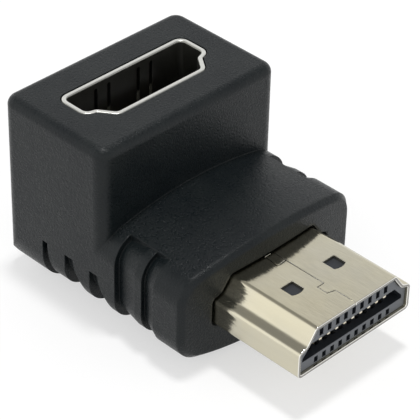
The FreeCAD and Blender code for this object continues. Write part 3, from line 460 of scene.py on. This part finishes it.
plug_plastic = insert_finish("plug_plastic", PLUG_SHADED_PLASTIC, roughness=0.5)
# painted light on the front face; the rest keeps the darker painted shade
repaint(plug_plastic, "X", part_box("plug_insulator")[1].x, LIT_FACE_SKIN, PLUG_FACE_LIT)
dress(["plug_insulator"], plug_plastic)

# Plug shell: nickel plated steel sheet folded to the connector's outline, closed by a seam with a tab.
# It is clamped by the inner mould and stands out of the housing. The rounded edges of its rim carry a
# painted highlight, and the cut face between them is painted darker.
NICKEL = (0.71, 0.66, 0.495)
NICKEL_DARK = (0.58, 0.54, 0.41)
PLUG_RIM_HIGHLIGHT = (0.93, 0.92, 0.87)
PLUG_RIM_CUT = (0.30, 0.29, 0.27)
PLUG_RIM_ROUND = 0.00007
CUT_SKIN = 0.000005
# the gap round a second tab, half hidden by the housing: its corners in X and Y, its width and depth
ROOT_TAB = [(0.01905, -0.00050), (0.01905, -0.00115), (0.02050, -0.00125),
            (0.02062, -0.00100), (0.02050, -0.00020)]
TAB_GAP = 0.00007
TAB_DEPTH = 0.00045


def cut_gap(piece, top, start, end):
    """Cut a narrow upright gap between two points through the top of a piece."""
    start, end = Vector(start), Vector(end)
    middle, along = (start + end) / 2, end - start
    half = along.length / 2 + TAB_GAP / 2
    cutter = box_piece("gap", (-half, -TAB_GAP / 2, -TAB_DEPTH), (half, TAB_GAP / 2, TAB_DEPTH))
    cutter.rotation_euler.z = math.atan2(along.y, along.x)
    cutter.location = (middle.x, middle.y, top)
    bpy.ops.object.transform_apply(location=True, rotation=True)
    apply_modifier(piece, "BOOLEAN", operation="DIFFERENCE", object=cutter)
    bpy.data.objects.remove(cutter)


plug_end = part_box("plug_shell")[1]
plug_sheet = merged_copy("plug_shell", "plug_shell_rounded")
round_rim(plug_sheet, 0, plug_end.x, PLUG_RIM_ROUND)
for corner, next_corner in zip(ROOT_TAB, ROOT_TAB[1:]):
    cut_gap(plug_sheet, plug_end.z, corner, next_corner)
smooth_piece(plug_sheet)
plug_nickel = nickel_finish("plug_nickel", NICKEL, NICKEL_DARK,
                            along=900.0, across=7000.0, roughness=0.14, bump=0.2)
# painted highlight over the rounded rim
repaint(plug_nickel, "X", plug_end.x, PLUG_RIM_ROUND, PLUG_RIM_HIGHLIGHT)
repaint(plug_nickel, "X", plug_end.x, CUT_SKIN, PLUG_RIM_CUT)
finish_piece(plug_sheet, plug_nickel, ["plug_shell"])

# Inner mould: the first shot of natural polyethylene round the board and both connectors.
# It lies wholly inside the housing.
INNER_PLASTIC = (0.75, 0.74, 0.68)

dress(["inner_mould"], insert_finish("inner_plastic", INNER_PLASTIC, roughness=0.55))

# Housing: soft black moulding shot over the inner mould, with a matt grain and five grip ribs. Its edges
# are painted slightly paler, partly as rubbing by handling and partly as a painted highlight. They look
# rounded by RIB_EDGE, and at the arm's front face by ARM_EDGE, which takes over between the two places of
# ARM_END along X.
HOUSING_BLACK = (0.0030, 0.0055, 0.0070)
HOUSING_PALE = (0.0070, 0.0100, 0.0108)
HOUSING_RUBBED_AND_HIGHLIT = (0.022, 0.025, 0.025)
GRAIN_DEPTH = 0.00006
RIB_EDGE = 0.00012
ARM_EDGE = 0.00045
ARM_END = (0.0166, 0.0176)


def housing_finish():
    """Grained black moulding with cloudy patches and edges painted paler, partly as rubbing and partly as a
    painted highlight.
    """
    material, tree, shader, place = new_material("housing_black", Specular_IOR_Level=0.25)
    grain = use_group(tree, GRAIN, place, Grain_Scale=5000.0, Cloud_Scale=260.0)
    along = add_node(tree, "ShaderNodeSeparateXYZ", _0=place).outputs["X"]
    soft = map_range(tree, along, From_Min=ARM_END[0], From_Max=ARM_END[1], To_Min=RIB_EDGE, To_Max=ARM_EDGE)
    edge = use_group(tree, EDGES, place, Radius=soft, Strength=3.0, Break_Scale=800.0)
    body = mix_colours(tree, grain["Clouds"], HOUSING_BLACK, HOUSING_PALE)
    # edges painted paler: partly rubbing, partly a painted highlight
    tree.links.new(mix_colours(tree, edge["Edge"], body, HOUSING_RUBBED_AND_HIGHLIT), shader.inputs["Base Color"])
    rough = map_range(tree, grain["Pits"], To_Min=0.24, To_Max=0.42)
    tree.links.new(rough, shader.inputs["Roughness"])
    set_bump(tree, shader, grain["Height"], strength=0.9, distance=GRAIN_DEPTH, normal=edge["Normal"])
    return material


dress(["housing"], housing_finish())

# Table: a wide flat surface that shows plain white to the camera and in the metal, and keeps the
# object's soft shadow.
FLOOR_HALF = 1.5
FLOOR_GREY = (0.45, 0.45, 0.45)
FLOOR_GLOW = 0.55
MIRRORED_GLOW = 0.46
WHITE = (1.0, 1.0, 1.0)


def seen_directly(tree):
    """A mask for rays that show the background: from the camera or through a clear piece."""
    path = add_node(tree, "ShaderNodeLightPath").outputs
    return calculate(tree, "MAXIMUM", path["Is Camera Ray"], path["Is Transmission Ray"])


def floor_finish():
    """Grey in the light of the room, with a glow for the camera and for reflections that makes it white."""
    material, tree, shader, _ = new_material("table_white", Base_Color=colour(FLOOR_GREY), Roughness=0.9,
                                             Specular_IOR_Level=0.0, Emission_Color=colour(WHITE))
    path = add_node(tree, "ShaderNodeLightPath").outputs
    mirrored = calculate(tree, "MULTIPLY", path["Is Glossy Ray"], MIRRORED_GLOW)
    glow = calculate(tree, "MULTIPLY_ADD", seen_directly(tree), FLOOR_GLOW, mirrored)
    tree.links.new(glow, shader.inputs["Emission Strength"])
    return material


bpy.ops.object.select_all(action="DESELECT")
bpy.ops.mesh.primitive_plane_add(size=2 * FLOOR_HALF, location=(0, 0, cad_box[0].z))
floor = bpy.context.object
floor.name = "table"
floor.data.materials.append(floor_finish())

# Light: white walls all round under a darker ceiling, brighter on the side of minus Y, and one soft lamp
# high up and a little behind the object, whose shadow falls towards the camera. On a sphere of radius 1
# the walls end at height WALL_END, the ceiling starts at CEILING_START, and the sides are SIDE_REACH out.
WALL_LIGHT = 0.92
CEILING_LIGHT = 0.27
WALL_END = 0.52
CEILING_START = 0.86
FRONT_SHARE = 1.3
BACK_SHARE = 0.97
SIDE_REACH = 0.7
LAMP_ROUND = math.radians(125.0)
LAMP_UP = math.radians(86.5)
LAMP_DISTANCE = 0.5
LAMP_SIDE = 0.06
LAMP_WATTS = 1.25


def set_world():
    """A room whose walls and ceiling light the object and which shows as plain white."""
    world = bpy.data.worlds.new("room")
    bpy.context.scene.world = world
    world.use_nodes = True
    tree = world.node_tree
    back = tree.nodes["Background"]
    way = add_node(tree, "ShaderNodeTexCoord").outputs["Generated"]
    towards = add_node(tree, "ShaderNodeSeparateXYZ", _0=way).outputs
    height = add_node(tree, "ShaderNodeMapRange", {"interpolation_type": "SMOOTHSTEP"}, Value=towards["Z"],
                      From_Min=WALL_END, From_Max=CEILING_START, To_Min=WALL_LIGHT, To_Max=CEILING_LIGHT)
    share = map_range(tree, towards["Y"], From_Min=-SIDE_REACH, From_Max=SIDE_REACH,
                      To_Min=FRONT_SHARE, To_Max=BACK_SHARE)
    room = calculate(tree, "MULTIPLY", height.outputs[0], share)
    back.inputs["Color"].default_value = colour(WHITE)
    tree.links.new(map_range(tree, seen_directly(tree), To_Min=room, To_Max=1.0), back.inputs["Strength"])


def add_lamp():
    """A square soft lamp that looks at the middle of the object."""
    middle = (cad_box[0] + cad_box[1]) / 2
    away = Vector((math.cos(LAMP_ROUND) * math.cos(LAMP_UP),
                   math.sin(LAMP_ROUND) * math.cos(LAMP_UP),
                   math.sin(LAMP_UP)))
    data = bpy.data.lights.new("lamp_behind", "AREA")
    data.size = LAMP_SIDE
    data.energy = LAMP_WATTS
    lamp = bpy.data.objects.new("lamp_behind", data)
    bpy.context.scene.collection.objects.link(lamp)
    lamp.location = middle + away * LAMP_DISTANCE
    lamp.rotation_euler = (-away).to_track_quat("-Z", "Y").to_euler()


set_world()
add_lamp()

# Camera: at the photograph's angle, from the plug's side, looking down on both openings.
CAMERA_ROUND = math.radians(44.139)
CAMERA_UP = math.radians(36.298)
CAMERA_ROLL = math.radians(1.48)
CAMERA_AIM = Vector((-0.013276, 0.025242, -0.017170))
CAMERA_DISTANCE = 0.230
CAMERA_LENS = 182.67


def set_camera():
    """Stand the camera off from the point it aims at."""
    away = Vector((math.sin(CAMERA_ROUND) * math.cos(CAMERA_UP),
                   -math.cos(CAMERA_ROUND) * math.cos(CAMERA_UP),
                   math.sin(CAMERA_UP)))
    data = bpy.data.cameras.new("camera")
    data.lens = CAMERA_LENS
    data.sensor_width = 36.0
    data.clip_start = 0.01
    data.clip_end = 10.0
    camera = bpy.data.objects.new("camera", data)
    bpy.context.scene.collection.objects.link(camera)
    camera.location = CAMERA_AIM + away * CAMERA_DISTANCE
    camera.rotation_mode = "QUATERNION"
    camera.rotation_quaternion = Quaternion(away, CAMERA_ROLL) @ (-away).to_track_quat("-Z", "Y")
    bpy.context.scene.camera = camera


set_camera()
bpy.context.scene.view_settings.view_transform = "Standard"
